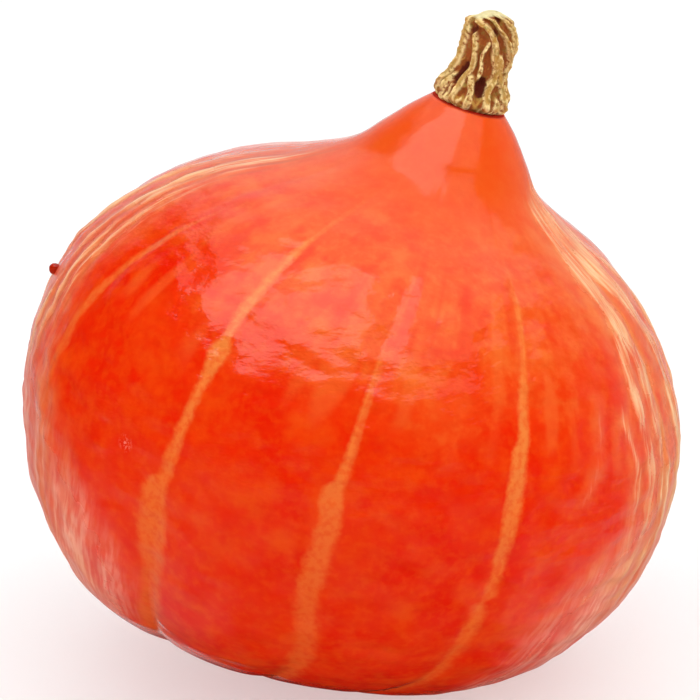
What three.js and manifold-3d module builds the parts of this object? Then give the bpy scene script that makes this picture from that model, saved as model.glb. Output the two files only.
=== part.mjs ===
// Red kuri squash: a ribbed, onion-shaped fruit that leans on its flattened underside,
// with the dried corky stem still on its neck. Millimetres, +Z up, front towards -Y.

import * as THREE from "three";
import { mergeVertices } from "three/addons/utils/BufferGeometryUtils.js";
import Module from "manifold-3d";

// ---- Driving dimensions ----

const leanDeg = 17.1;            // the fruit's axis leans towards +X
const bellyHeight = 68;          // the widest ring's centre, above the resting face

// Profile of the fruit as radius and height on its own axis, from blossom end to neck.
const fruitProfile = [
  [0, -71.6],
  [5, -72.8],
  [18, -71.2],
  [34.5, -66],
  [56.6, -56],
  [72.6, -41],
  [82, -22],
  [85.6, 0],
  [81.3, 22],
  [69.5, 40],
  [54.6, 53],
  [36.4, 62],
  [25, 69],
  [19.2, 76],
  [14.3, 82],
  [9.3, 87],
];
const ringsPerSpan = 3;          // rings cut between two points of the profile

// The axis is bowed: the underside has slipped to the left and back while growing.
const bellySlip = 4;             // sideways slip of the belly
const bellySlipEnds = [25, 85];  // heights over which it dies out towards the neck
const blossomSlip = 11.2;        // further slip of the blossom end
const blossomSlipStart = -20;    // height where that slip begins
const blossomSlipRun = 53;       // how far below that it is whole
const blossomSetBack = 7;        // how far the blossom end sits behind the neck
const setBackEnds = [-60, 15];   // heights over which that dies out

// Ribs, each from the groove it starts at to the next one's. Angles run from the front
// towards +X. Low and high are how far a rib swells below and above the belly, and drift
// is how far its groove turns on its way to the blossom end.
const ribs = [
  { start: -62.5, drift: 0, low: 3.6, high: 1 },
  { start: -31.5, drift: 1, low: 2.8, high: 1 },
  { start: -4, drift: 7, low: 0.6, high: 1 },
  { start: 26, drift: 4, low: 2.8, high: 1 },
  { start: 68, drift: 0, low: 3, high: 0.8 },
  { start: 106, drift: -2, low: 1.5, high: 3.8 },
  { start: 145, drift: 0, low: 1.5, high: 1.2 },
  { start: 183, drift: 2, low: 1.2, high: 1 },
  { start: 221, drift: 0, low: 1.2, high: 0.3 },
  { start: 259, drift: -2, low: 0.3, high: 0.5 },
];
const lowSwellRise = [-74, -62];  // heights over which the low swelling comes in
const lowSwellFall = [-50, 5];    // and goes out
const highSwellRise = [5, 42];
const highSwellFall = [60, 84];
const driftFall = [-55, -15];     // heights over which the drift dies out
const facetsPerRib = 6;

// A small round wart on the left shoulder.
const wart = { angle: -88.4, height: 15, radius: 1.5, facets: 12 };
const seatStepsPerSpan = 20;     // how finely the skin's radius under the wart is found

// Profile of the stem as radius and height above the neck, over the crests of its ridges.
const stemProfile = [
  [8.4, 0],
  [9.8, 1.5],
  [10, 3],
  [9, 5.3],
  [7.8, 8],
  [7.2, 11],
  [7.2, 15],
  [7.1, 19],
  [6.6, 21.3],
  [5.4, 23],
  [3.2, 24.2],
  [0, 24.6],
];
const stemRingsPerSpan = 3;
const stemFacets = 120;
const stemGap = 0.3;             // clearance between the stem's foot and the neck

// Each ridge of the stem winds up a route of [height, angle], with a half width and a
// share of the full depth of the grooves. Angles run from the front towards +X.
const stemRidges = [
  {
    route: [[0, -94], [3.5, -92], [7, -82], [12, -74], [15, -71], [17.6, -74], [19.8, -83],
      [23, -98]],
    width: 1.5, rise: 1,
  },
  {
    route: [[0, -31], [7.6, -30], [10.3, -26], [12.4, -27], [14.7, -33], [17.5, -38]],
    width: 1.15, rise: 0.95,
  },
  { route: [[0, -8], [3, -9], [5.7, -12], [8, -19]], width: 1, rise: 0.8 },
  { route: [[8, -4], [11, -6], [13.8, -10], [18, -4]], width: 0.8, rise: 0.6 },
  {
    route: [[0, 22], [5.4, 22], [7, 27], [9.2, 33], [11.8, 31], [14.4, 24], [16.9, 14],
      [19.3, 4], [20.8, -12], [22.1, -34], [23.4, -63]],
    width: 1.25, rise: 1,
  },
  { route: [[0, 66], [3.6, 64], [6.5, 60], [9.3, 49], [14.5, 34]], width: 2.1, rise: 0.95 },
  {
    route: [[0, 95], [8, 93], [14, 80], [16, 62], [18.6, 43], [20.7, 29], [22, 9], [23, -12],
      [23.6, -45]],
    width: 0.95, rise: 1,
  },
  {
    route: [[0, 130], [7, 124], [13, 106], [17, 90], [20, 76], [22.5, 62], [23.6, 45], [24, 5]],
    width: 1.5, rise: 1.05,
  },
  { route: [[0, 160], [6, 158], [12, 150], [18, 135], [22, 118], [24, 90]], width: 1.4, rise: 1 },
  { route: [[0, 208], [10, 204], [16, 197], [21, 184], [24, 160]], width: 1.5, rise: 1 },
  { route: [[0, 238], [9, 243], [16, 237], [21, 226], [24, 210]], width: 1.4, rise: 0.9 },
];
const ridgeSteepness = 4;        // how squarely a ridge drops into the grooves
const ridgeStartFade = [-2, 1];  // a ridge comes in over this, from its lowest point
const ridgeEndFade = [-1, 2];    // and goes out over this, from its highest
const grooveDepth = 2.1;         // between two ridges, on the shank
const footShare = 0.45;          // share of that depth at the very foot
const footEnds = [0.5, 4];       // heights over which it grows to the whole depth
const tipLoss = 0.45;            // share of the depth that is lost at the cut end
const tipHeight = 22;            // where that begins

// The cut end is bent a little to the left, and flares there to a blunt corner.
const tipShift = 0.6;
const tipShiftEnds = [16, 22];
const tipFlare = { angle: -75, out: 0.8, rise: [20, 22.4], fall: [22.4, 23.6] };

const groundBlock = 300;         // side of the block that cuts the underside flat

// ---- Helpers ----

const { degToRad, lerp, smoothstep, clamp, euclideanModulo } = THREE.MathUtils;

// Points of a smooth curve through [radius, height] pairs.
function smoothProfile(pairs, pointsPerSpan) {
  const points = pairs.map(([radius, height]) => new THREE.Vector2(radius, height));
  return new THREE.SplineCurve(points).getPoints(pointsPerSpan * (pairs.length - 1));
}

// Closed skin over a stack of rings, each an equal count of points, counter-clockwise
// seen from above. The two ends close on a middle point each.
function skinOver(rings, bottomPoint, topPoint) {
  const count = rings[0].length;
  const vertices = [...rings.flat(), bottomPoint, topPoint];
  const bottom = vertices.length - 2;
  const top = vertices.length - 1;
  const index = [];
  for (let ring = 0; ring < rings.length - 1; ring++) {
    for (let i = 0; i < count; i++) {
      const here = ring * count + i;
      const beside = ring * count + ((i + 1) % count);
      index.push(here, beside, beside + count);
      index.push(here, beside + count, here + count);
    }
  }
  const lastRing = (rings.length - 1) * count;
  for (let i = 0; i < count; i++) {
    const next = (i + 1) % count;
    index.push(bottom, next, i);
    index.push(top, lastRing + i, lastRing + next);
  }
  const geometry = new THREE.BufferGeometry().setFromPoints(vertices);
  geometry.setIndex(index);
  return geometry;
}

// ---- The fruit ----

// The middle of the bowed axis at a height.
function axisPoint(height) {
  const neckward = smoothstep(height, ...bellySlipEnds);
  const blossomward = clamp((blossomSlipStart - height) / blossomSlipRun, 0, 1);
  const sideways = -bellySlip * (1 - neckward) - blossomSlip * blossomward ** 2;
  const back = blossomSetBack * (1 - smoothstep(height, ...setBackEnds));
  return new THREE.Vector3(sideways, back, height);
}

// How much of a rib's low and high swelling shows at a height.
function lowShare(height) {
  return smoothstep(height, ...lowSwellRise) * (1 - smoothstep(height, ...lowSwellFall));
}

function highShare(height) {
  return smoothstep(height, ...highSwellRise) * (1 - smoothstep(height, ...highSwellFall));
}

// Point of the fruit's skin on a rib, at a share of the way across it.
function skinPoint(ribNumber, across, radius, height) {
  const rib = ribs[ribNumber];
  const nextRib = ribs[(ribNumber + 1) % ribs.length];
  const fullTurn = ribNumber + 1 === ribs.length ? 360 : 0;
  const blossomward = 1 - smoothstep(height, ...driftFall);
  const start = rib.start + rib.drift * blossomward;
  const end = nextRib.start + fullTurn + nextRib.drift * blossomward;
  const angle = degToRad(lerp(start, end, across));
  const crown = 4 * across * (1 - across);
  const swell = crown * (rib.low * lowShare(height) + rib.high * highShare(height));
  const offset = new THREE.Vector3(Math.sin(angle), -Math.cos(angle), 0);
  return axisPoint(height).addScaledVector(offset, radius + swell);
}

function fruitSkin() {
  const profile = smoothProfile(fruitProfile, ringsPerSpan);
  const rings = profile.slice(1).map(({ x: radius, y: height }) => {
    const ring = [];
    for (let rib = 0; rib < ribs.length; rib++) {
      for (let facet = 0; facet < facetsPerRib; facet++) {
        ring.push(skinPoint(rib, facet / facetsPerRib, radius, height));
      }
    }
    return ring;
  });
  const blossomEnd = axisPoint(profile[0].y);
  const neckTop = axisPoint(profile[profile.length - 1].y);
  return skinOver(rings, blossomEnd, neckTop);
}

// The wart is a ball half sunk in the skin.
function wartBall() {
  const angle = degToRad(wart.angle);
  const profile = smoothProfile(fruitProfile, seatStepsPerSpan);
  const ring = profile.reduce((best, point) =>
    Math.abs(point.y - wart.height) < Math.abs(best.y - wart.height) ? point : best);
  const offset = new THREE.Vector3(Math.sin(angle), -Math.cos(angle), 0);
  const seat = axisPoint(ring.y).addScaledVector(offset, ring.x);
  const ball = new THREE.SphereGeometry(wart.radius, wart.facets, wart.facets / 2);
  return ball.translate(seat.x, seat.y, seat.z);
}

// ---- The stem ----

// Angle of a ridge at a height, along its route.
function routeAngle(route, height) {
  const next = route.findIndex(([above], number) => number > 0 && above >= height);
  const [lowHeight, lowAngle] = route[next - 1];
  const [highHeight, highAngle] = route[next];
  const share = clamp((height - lowHeight) / (highHeight - lowHeight), 0, 1);
  return degToRad(lerp(lowAngle, highAngle, share));
}

// How far up its ridges a place on the stem lies, from 0 in the grooves to 1.
function ridgeRise(height, angle, radius) {
  let highest = 0;
  for (const { route, width, rise } of stemRidges) {
    const first = route[0][0];
    const last = route[route.length - 1][0];
    const turn = angle - routeAngle(route, Math.min(height, last));
    const away = Math.abs(euclideanModulo(turn + Math.PI, 2 * Math.PI) - Math.PI) * radius;
    const fadeIn = smoothstep(height - first, ...ridgeStartFade);
    const fadeOut = 1 - smoothstep(height - last, ...ridgeEndFade);
    const share = rise * fadeIn * fadeOut / (1 + (away / width) ** ridgeSteepness);
    highest = Math.max(highest, share);
  }
  return highest;
}

function stemSkin() {
  const profile = smoothProfile(stemProfile, stemRingsPerSpan);
  const tallest = profile[profile.length - 1].y;
  const rings = profile.slice(0, -1).map(({ x: radius, y: height }) => {
    const fadeIn = lerp(footShare, 1, smoothstep(height, ...footEnds));
    const fadeOut = 1 - tipLoss * smoothstep(height, tipHeight, tallest);
    const depth = grooveDepth * fadeIn * fadeOut;
    const shift = tipShift * smoothstep(height, ...tipShiftEnds);
    const flare = tipFlare.out * smoothstep(height, ...tipFlare.rise)
      * (1 - smoothstep(height, ...tipFlare.fall));
    const ring = [];
    for (let facet = 0; facet < stemFacets; facet++) {
      const angle = 2 * Math.PI * facet / stemFacets;
      const facing = Math.max(Math.cos(angle - degToRad(tipFlare.angle)), 0);
      const groove = depth * (1 - ridgeRise(height, angle, radius));
      const reach = radius - groove + flare * facing ** 2;
      const x = reach * Math.sin(angle) - shift;
      ring.push(new THREE.Vector3(x, -reach * Math.cos(angle), height));
    }
    return ring;
  });
  const foot = new THREE.Vector3(0, 0, 0);
  return skinOver(rings, foot, new THREE.Vector3(-tipShift, 0, tallest));
}

// ---- Joining and cutting ----

const manifold = await Module();
manifold.setup();

function toSolid(geometry) {
  const bare = geometry.clone();
  bare.deleteAttribute("normal");
  bare.deleteAttribute("uv");
  const merged = mergeVertices(bare);
  return new manifold.Manifold(new manifold.Mesh({
    numProp: 3,
    vertProperties: new Float32Array(merged.attributes.position.array),
    triVerts: new Uint32Array(merged.index.array),
  }));
}

function toGeometry(solid) {
  const { vertProperties, triVerts } = solid.getMesh();
  const geometry = new THREE.BufferGeometry();
  geometry.setAttribute("position", new THREE.BufferAttribute(vertProperties, 3));
  geometry.setIndex(new THREE.BufferAttribute(triVerts, 1));
  geometry.computeVertexNormals();
  return geometry;
}

// ---- Assembly ----

const lean = degToRad(leanDeg);

function makeFruit() {
  const whole = toSolid(fruitSkin().rotateY(lean).translate(0, 0, bellyHeight));
  const ball = toSolid(wartBall().rotateY(lean).translate(0, 0, bellyHeight));
  const ground = toSolid(
    new THREE.BoxGeometry(groundBlock, groundBlock, groundBlock)
      .translate(0, 0, -groundBlock / 2));
  const rind = new THREE.MeshStandardMaterial({ color: 0xf0390f, roughness: 0.32, metalness: 0 });
  const mesh = new THREE.Mesh(toGeometry(whole.add(ball).subtract(ground)), rind);
  mesh.name = "fruit";
  return mesh;
}

function makeStem() {
  const cork = new THREE.MeshStandardMaterial({ color: 0xc8a05a, roughness: 0.9, metalness: 0 });
  const mesh = new THREE.Mesh(stemSkin(), cork);
  mesh.name = "stem";
  return mesh;
}

const squash = new THREE.Group();
squash.add(makeFruit());

const stem = makeStem();
const neckHeight = fruitProfile[fruitProfile.length - 1][1];
const upAxis = new THREE.Vector3(Math.sin(lean), 0, Math.cos(lean));
stem.position.set(0, 0, bellyHeight).addScaledVector(upAxis, neckHeight + stemGap);
stem.rotation.y = lean;
squash.add(stem);

export default squash;
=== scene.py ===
import math
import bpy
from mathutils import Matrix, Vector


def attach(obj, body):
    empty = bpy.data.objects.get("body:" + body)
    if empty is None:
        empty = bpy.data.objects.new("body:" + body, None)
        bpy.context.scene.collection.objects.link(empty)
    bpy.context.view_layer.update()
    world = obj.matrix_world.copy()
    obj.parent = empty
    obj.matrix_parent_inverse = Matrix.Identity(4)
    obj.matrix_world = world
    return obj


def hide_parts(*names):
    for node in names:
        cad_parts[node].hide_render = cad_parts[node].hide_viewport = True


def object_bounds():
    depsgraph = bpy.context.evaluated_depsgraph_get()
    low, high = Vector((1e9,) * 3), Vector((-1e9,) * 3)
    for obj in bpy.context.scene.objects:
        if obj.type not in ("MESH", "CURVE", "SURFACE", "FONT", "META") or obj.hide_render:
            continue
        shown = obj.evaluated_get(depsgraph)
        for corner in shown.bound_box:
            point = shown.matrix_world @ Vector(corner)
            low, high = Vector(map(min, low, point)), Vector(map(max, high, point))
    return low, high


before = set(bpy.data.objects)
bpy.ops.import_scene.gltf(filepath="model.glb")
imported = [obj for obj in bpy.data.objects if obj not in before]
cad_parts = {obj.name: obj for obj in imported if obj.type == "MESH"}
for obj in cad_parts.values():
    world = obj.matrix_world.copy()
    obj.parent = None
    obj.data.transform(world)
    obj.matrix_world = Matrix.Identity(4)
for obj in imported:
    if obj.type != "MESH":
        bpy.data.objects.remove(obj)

from types import SimpleNamespace

import bpy
import numpy as np
from mathutils import Vector, noise

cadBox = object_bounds()
millimetre = 0.001
print("frame loaded")


# shared by all the skins

seedSteps = (17.3, 5.1, 9.7)  # how far one step of a seed moves the noise


def ease(low, high, x):
    # from 0 at low to 1 at high, with a soft start and a soft end
    t = np.clip((np.asarray(x, float) - low) / (high - low), 0, 1)
    return t * t * (3 - 2 * t)


def band(rise, fall, x):
    # 1 inside a band, with a soft rise before it and a soft fall after it
    return ease(*rise, x) * (1 - ease(*fall, x))


def fadeAlong(route, fades, x):
    # 1 between the ends of a route that goes up, with both ends soft
    lowFade, highFade = fades
    return band([route[0] + edge for edge in lowFade],
                [route[-1] + edge for edge in highFade], x)


def mixed(pair, share):
    # from the first of the pair to the second
    return pair[0] + (pair[1] - pair[0]) * share


def bell(away, width):
    # 1 in the middle and next to nothing beyond twice the width
    return np.exp(-(away / width) ** 2)


def shortestTurn(angle):
    return (angle + np.pi) % (2 * np.pi) - np.pi


def smoothProfile(pairs, steps):
    # a smooth curve through the pairs, with the same count of steps in each span
    points = np.array(pairs, float)
    last = len(points) - 1
    t = np.linspace(0, last, last * steps + 1)
    span = np.minimum(t.astype(int), last - 1)
    f = (t - span)[:, None]
    before = points[np.maximum(span - 1, 0)]
    start = points[span]
    end = points[span + 1]
    after = points[np.minimum(span + 2, last)]
    leave = (end - before) / 2
    arrive = (after - start) / 2
    curve = (2 * start - 2 * end + leave + arrive) * f ** 3
    curve += (3 * end - 3 * start - 2 * leave - arrive) * f ** 2
    return curve + leave * f + start


def evenRings(pairs, count):
    # radius and height of rings that lie evenly along the same curve, a row for each
    curve = smoothProfile(pairs, 40)
    along = np.concatenate([[0], np.cumsum(np.hypot(*np.diff(curve, axis=0).T))])
    even = np.linspace(0, along[-1], count)[:, None]
    return np.interp(even, along, curve[:, 0]), np.interp(even, along, curve[:, 1])


def outwardFrom(angle):
    # level directions, with angle 0 to the front and a quarter turn to the right
    return np.stack([np.sin(angle), -np.cos(angle), np.zeros_like(angle)], axis=-1)


def lumps(points, size, seed):
    # smooth noise from -1 to 1, with bumps about this far apart in millimetres
    shift = Vector([seed * step for step in seedSteps])
    places = (points / size).reshape(-1, 3).tolist()
    bumps = [noise.noise(Vector(place) + shift) for place in places]
    return np.array(bumps).reshape(points.shape[:-1])


def layered(points, layers):
    # lumps of several sizes on top of each other
    total = np.zeros(points.shape[:-1])
    for height, width, squatness, seed in layers:
        total += height * lumps(points * np.array([1, 1, squatness]), width, seed)
    return total


def skinFaces(rows, columns):
    # quads between the rings, then a fan over each end
    ring = np.arange(rows - 1)[:, None] * columns
    here = ring + np.arange(columns)
    beside = ring + (np.arange(columns) + 1) % columns
    quads = np.stack([here, beside, beside + columns, here + columns], axis=-1)
    faces = quads.reshape(-1, 4).tolist()
    bottom, top = rows * columns, rows * columns + 1
    lastRing = (rows - 1) * columns
    for i in range(columns):
        following = (i + 1) % columns
        faces.append([bottom, following, i])
        faces.append([top, lastRing + i, lastRing + following])
    return faces


def newObject(name, data):
    made = bpy.data.objects.new(name, data)
    bpy.context.collection.objects.link(made)
    return made


def makePiece(name, points, faces, material):
    mesh = bpy.data.meshes.new(name)
    mesh.from_pydata((points * millimetre).tolist(), [], faces)
    mesh.polygons.foreach_set("use_smooth", [True] * len(mesh.polygons))
    mesh.materials.append(material)
    mesh.update()
    return newObject(name, mesh)


def storePerPoint(piece, name, onSkin, elsewhere):
    # a value for each point: first the rings of the skin, then the points that follow
    values = np.concatenate([onSkin.ravel(), elsewhere])
    layer = piece.data.attributes.new(name, "FLOAT", "POINT")
    layer.data.foreach_set("value", values.astype(np.float32))


# the fruit

# Heights lie along the fruit's own axis, in millimetres above its belly.
fruitShape = {
    "leanDeg": 17.1,
    "bellyHeight": 68,
    "profile": [(0, -71.6), (5, -72.8), (18, -71.2), (34.5, -66), (56.6, -56), (72.6, -41),
                (82, -22), (85.6, 0), (81.3, 22), (69.5, 40), (54.6, 53), (36.4, 62),
                (25, 69), (19.2, 76), (14.3, 82), (9.3, 87)],
    "bellySlip": 4,  # how far the belly lies to the left of the neck's axis
    "blossomSlip": 11.2,  # how much farther to the left the blossom end lies
    "blossomSetBack": 7,
    "endHeights": (-71, 87),  # of the two points that close the skin
    "ringCount": 276,
    "scab": {"angle": -41, "height": -3.3, "radius": 2.8},
    "wart": {"angle": -88.4, "height": 15, "radius": 1.5, "lift": 0.4,
             "lump": (0.12, 0.8), "seed": 4, "ringCount": 14, "columnCount": 20},
    "scarRadius": 6.5,  # the corky button at the blossom end
    "drumRadius": 80,  # of the upright drum that the long marks are laid out on
    "seeds": {"creases": 5, "streaks": 6, "sway": 11, "pebbles": 13},
    # where the ribs change, with crowns that rise and fall between two pairs
    "driftHeights": (-55, -15),
    "lowCrownHeights": ((-74, -62), (-50, 5)),
    "highCrownHeights": ((5, 42), (56, 74)),
    "fillHeights": (-20, 20),
    # small ups and downs, with layers that hold height, width, squatness and seed
    "unevenness": [(0.36, 19, 1.2, 1), (0.42, 10, 2, 2), (0.2, 5.5, 2, 3)],
    "dimples": [(0.42, 6.5, 1.5, 14)],  # on the front alone
    "dimpleHeights": (-35, 0),
    "neckHeights": (50, 72),  # where the unevenness dies down towards the neck
    "neckShare": 0.2,  # how much of it is left there
    "creases": (0.06, 0.14),  # height of the faint creases, in front and behind
    "creaseHeights": ((-66, -30), (58, 76)),
    "creaseCount": 16,  # roughly how many cross each sixth of the way round
    "creaseLength": 40,
    "creaseSharpness": 2.6,
    "wrinkleRise": 0.5,
    "furrowDepth": 0.2,  # beside the wrinkles
    "wrinkleShare": (0.12, 1),  # how much of both is there low down and high up
    "wrinkleHeights": (-15, 25),
    "notch": (0.3, 0.5),  # depth of the narrow groove under a stripe, high and low
    "notchHeights": ((-74, -66), (40, 62)),
    "notchWidth": 2.6,
    "fillet": 7,  # width of the soft rounding along each groove
    "pebbles": 0.07,  # height of the short bumps at the sides
    "pebbleStretch": (1.9, 1.9, 6),
    "scarRim": 0.7,
    "scarDip": 0.9,
    # how a wrinkle's strands sway with one noise, which is shifted by some rings for each
    "wrinkle": {
        "swayLength": 9,
        "swayDeg": 0.8,
        "swayShift": 23,
        "fades": ((-4, 9), (-8, 2)),  # millimetres above the low and the high end
        "pale": {"mean": 0.8, "sway": 0.9, "shift": 61},
        "strand": {"width": 1.1, "leastWidth": 1.2, "gap": 2.3, "sway": 1.2, "shift": 31,
                   "firstShift": 17},
        "furrow": {"place": 1.8, "width": 0.6},  # both in widths of the strand
        "haze": {"share": 2.2, "more": 1},  # widths of the wrinkle, and millimetres
    },
    # Pale marks, partly painted reflection and painted highlight: sideways, the front and back
    # are at 0 and either side is at 1. What is lost holds a share and the heights that the loss
    # sets in at.
    "bloomLeft": {"start": (0.5, 0.88), "heights": (-45, 5)},  # sideways, low and high
    "bloomRight": {"start": (0.57, 0.79), "heights": (-25, 25)},
    "bloomWidth": 0.25,
    "bloomHeights": ((-66, -50), (5, 35)),
    "bloomLossBehind": 0.65,
    # the tints below are partly the crests' own colour and partly painted highlight
    "creaseTint": (0.03, 0.18),  # how pale the faint creases are, in front and behind
    "creaseTintHeights": ((-66, -20), (60, 76)),
    "wrinkleTint": (0.12, 1),  # how pale the wrinkles are, low down and high up
    "closeTint": (0.06, 0.3),  # the same, for the skin close to them
    "tintHeights": (-20, 15),
    "leftTintLoss": (0.45, (52, 64)),
    "leftHazeAndSheenLoss": (0.75, (46, 58)),
    "streakStretch": (0.9, 0.9, 2.2),
    "blushDrop": {"sides": 8, "left": 9, "right": 7},  # how much higher the blush starts
    "blushRightHeights": (25, 45),
    "stripeFades": ((-8, 10), (-8, 6)),  # millimetres above the low and the high end
}

# A row for each rib: the angle of the groove that it starts at, how far that drifts at
# the blossom end, the height of the crown low down and high up, how far the groove is
# filled, and the columns of points. Angles are in degrees, from the front to the right.
ribs = [
    (-62.5, 0, 3.6, 1, 1.5, 36),
    (-31.5, 1, 2.8, 1, 0.2, 34),
    (-4, 7, 0.6, 1, 0.2, 34),
    (26, 4, 2.8, 1, 0.3, 50),
    (68, 0, 3, 0.8, 0.5, 54),
    (106, -2, 1.5, 3.8, 0.3, 24),
    (145, 0, 1.5, 1.2, 0.3, 24),
    (183, 2, 1.2, 1, 0.3, 24),
    (221, 0, 1.2, 0.3, 0.3, 24),
    (259, -2, 0.3, 0.5, 0.3, 52),
]

# The skin puckers into fine pale wrinkles at both sides. Each has a width, how pale its crest
# is, which is partly painted highlight, how deep the furrows beside it are and how much shade is
# painted in them, and a route of heights and angles.
wrinkles = [
    (1.9, 1, 0.4, [(64, -103), (56, -95), (30, -93), (10, -90), (-6, -91)]),
    (1.6, 1, 0.9, [(67, -92), (58, -86), (44, -83), (32, -84), (20, -82), (-10, -81)]),
    (1.5, 1, 0.9, [(68, -88), (60, -83), (46, -81), (35, -79.5), (22, -77.5), (6, -76),
        (-6, -75)]),
    (1.4, 0.8, 0.7, [(66, -82), (60, -79), (49, -77), (36, -75), (20, -72.5), (6, -71)]),
    (1.3, 0.5, 0.4, [(56, -75), (47, -73.5), (37, -71), (27, -69)]),
    (1.6, 0.5, 0.1, [(12, -69), (-12, -67), (-32, -66), (-54, -60)]),
    (1.4, 0.4, 0.1, [(0, -62), (-20, -61), (-38, -58), (-56, -52)]),
    (1.3, 0.3, 0.1, [(-6, -56), (-25, -53), (-54, -46)]),
    (1.6, 0.6, 0.1, [(38, 52), (32, 52), (20, 55), (9, 55.6), (-3, 54), (-18, 47)]),
    (1.9, 0.85, 0.2, [(53, 59.5), (46, 58), (41, 57), (34, 58), (20, 60.5), (5, 61.5),
        (-14, 55)]),
    (3.2, 1, 0.2, [(72, 70), (65, 66), (57, 61), (51, 61), (44, 65), (34, 65.5), (18, 68),
        (4, 69), (-14, 64), (-30, 57)]),
    (3.4, 1, 0.3, [(68, 86), (62, 85), (57, 79), (52, 77), (44, 80), (36, 78), (10, 80),
        (-25, 72)]),
    (3.6, 1, 0, [(70, 98), (50, 93), (20, 90), (-10, 90), (-35, 86)]),
    (3.4, 1, 0, [(76, 84), (70, 79), (64, 75), (58, 73), (50, 76)]),
    (1, 0.3, 0.1, [(42, 44), (28, 43), (19, 42), (10, 39)]),
    (1.2, 0.35, 0.1, [(6, 50), (-8, 46), (-24, 40)]),
]

# One pale stripe lies in each groove: how strong it is, and how far it reaches to the
# left and right of the groove at some heights.
stripes = [
    (0.55, [(50, -3, 4), (41, -1, 3.2), (30, 1.6, .6), (16, 4.2, -1.4), (0, 5, -1.6),
        (-30, 4.4, 0), (-56, 3, 3)]),
    (1, [(60, .4, -.1), (50, 1.8, .2), (36, 2.2, .4), (30, 1.1, 1), (27, 2.8, 3), (22, .8, 1.6),
        (0, 2, 1.2), (-5.8, 2.1, 1.1), (-8.2, 5, .8), (-20, 5.4, 2.8), (-28, 4.4, 3.3),
        (-33, 2, 3.1), (-45, 3.4, 2.6), (-60, 4, 2)]),
    (0.9, [(40, .1, .3), (22, .2, 1.4), (9, 1.3, 1.5), (7.5, 3.3, 1.5), (3, 3.7, 2.6),
        (-1, 1.8, 3.4), (-21, 2.1, 3.3), (-32, 2.2, 3.4), (-60, 2, 2.6)]),
    (1, [(58, .5, .2), (36, 1.6, .5), (28, 1.9, 1.2), (24, 3.4, 1), (12, 3, 1.7), (-2, 1.5, 1.6),
        (-11, .5, 2.1), (-13, .2, .2), (-15, 2.1, 1.7), (-22, 1.2, 2.6), (-45, 1.2, 1.4),
        (-58, .4, .4)]),
    (0.8, [(56, .5, .8), (30, 1.4, 1.6), (8, 2.6, 1.8), (-20, 2, 3), (-55, 2.4, 2)]),
    (0.9, [(58, .5, .5), (34, 2, 1.4), (10, 2, 3.2), (-6, 4, 3), (-30, 3, 2.2), (-60, 2, 3)]),
    (1, [(60, .4, .4), (40, 1.6, 1), (20, 1.4, 2.6), (2, 2, 2), (-4, 4.2, 2.4), (-34, 4.6, 3),
        (-60, 2.8, 2)]),
    (0.9, [(55, .5, .6), (36, 1.2, 2), (24, 3.2, 2), (0, 1.8, 2), (-12, 2, 4.6), (-40, 3.2, 3.4),
        (-60, 2, 2)]),
    (1, [(58, .6, .4), (38, 2.2, 1), (16, 1.4, 2), (-2, 2.4, 1.8), (-24, 4, 3.6),
        (-60, 3, 2.6)]),
    (0.7, [(54, .6, .6), (34, 1.4, 1.6), (4, 2.4, 1.4), (-26, 3, 3.2), (-58, 2.4, 2.2)]),
]


def axisPoints(height):
    neckward = ease(25, 85, height)
    blossomward = np.clip((-20 - height) / 53, 0, 1)
    sideways = -fruitShape["bellySlip"] * (1 - neckward)
    sideways = sideways - fruitShape["blossomSlip"] * blossomward ** 2
    back = fruitShape["blossomSetBack"] * (1 - ease(-60, 15, height))
    return np.stack([sideways, back, height], axis=-1)


def leanOver(points):
    # from the fruit's own axis to how it rests on the table
    lean = math.radians(fruitShape["leanDeg"])
    x, y, z = points[..., 0], points[..., 1], points[..., 2]
    up = z * math.cos(lean) - x * math.sin(lean) + fruitShape["bellyHeight"]
    return np.stack([x * math.cos(lean) + z * math.sin(lean), y, up], axis=-1)


def fruitSkin():
    # the ribbed body without its fine relief, and what is known of each place on it
    radius, height = evenRings(fruitShape["profile"], fruitShape["ringCount"])
    radius, height = radius[1:], height[1:]  # the first ring is only a point
    start, drift, lowCrown, highCrown, fills, counts = np.array(ribs, float).T
    ribOf = np.repeat(np.arange(len(ribs)), counts.astype(int))
    across = np.concatenate([np.arange(count) / count for count in counts])
    starts = np.append(start, start[0] + 360)
    drifts = np.append(drift, drift[0])
    blossomward = 1 - ease(*fruitShape["driftHeights"], height)
    left = starts[ribOf] + drifts[ribOf] * blossomward
    right = starts[ribOf + 1] + drifts[ribOf + 1] * blossomward
    angle = np.radians(left + (right - left) * across)
    crown = 4 * across * (1 - across)
    swell = crown * (lowCrown[ribOf] * band(*fruitShape["lowCrownHeights"], height)
                     + highCrown[ribOf] * band(*fruitShape["highCrownHeights"], height))
    outward = outwardFrom(angle)
    skin = axisPoints(height) + outward * (radius + swell)[..., None]
    ribWidth = np.radians(right - left) * radius
    grid = SimpleNamespace(radius=radius, height=height, angle=angle, outward=outward,
                           side=np.sin(angle), front=np.cos(angle), across=across,
                           ribOf=ribOf, ribWidth=ribWidth, fills=fills)
    return skin, grid


def nearestPlace(grid, spot):
    # the ring and the column that lie nearest to a spot
    row = np.argmin(np.abs(grid.height - spot["height"]))
    turn = shortestTurn(grid.angle[row] - math.radians(spot["angle"]))
    return row, np.argmin(np.abs(turn))


def scabSpot():
    scab = fruitShape["scab"]
    skin, grid = fruitSkin()
    place = leanOver(skin[nearestPlace(grid, scab)])
    return {"place": place * millimetre, "radius": scab["radius"] * millimetre}


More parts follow.
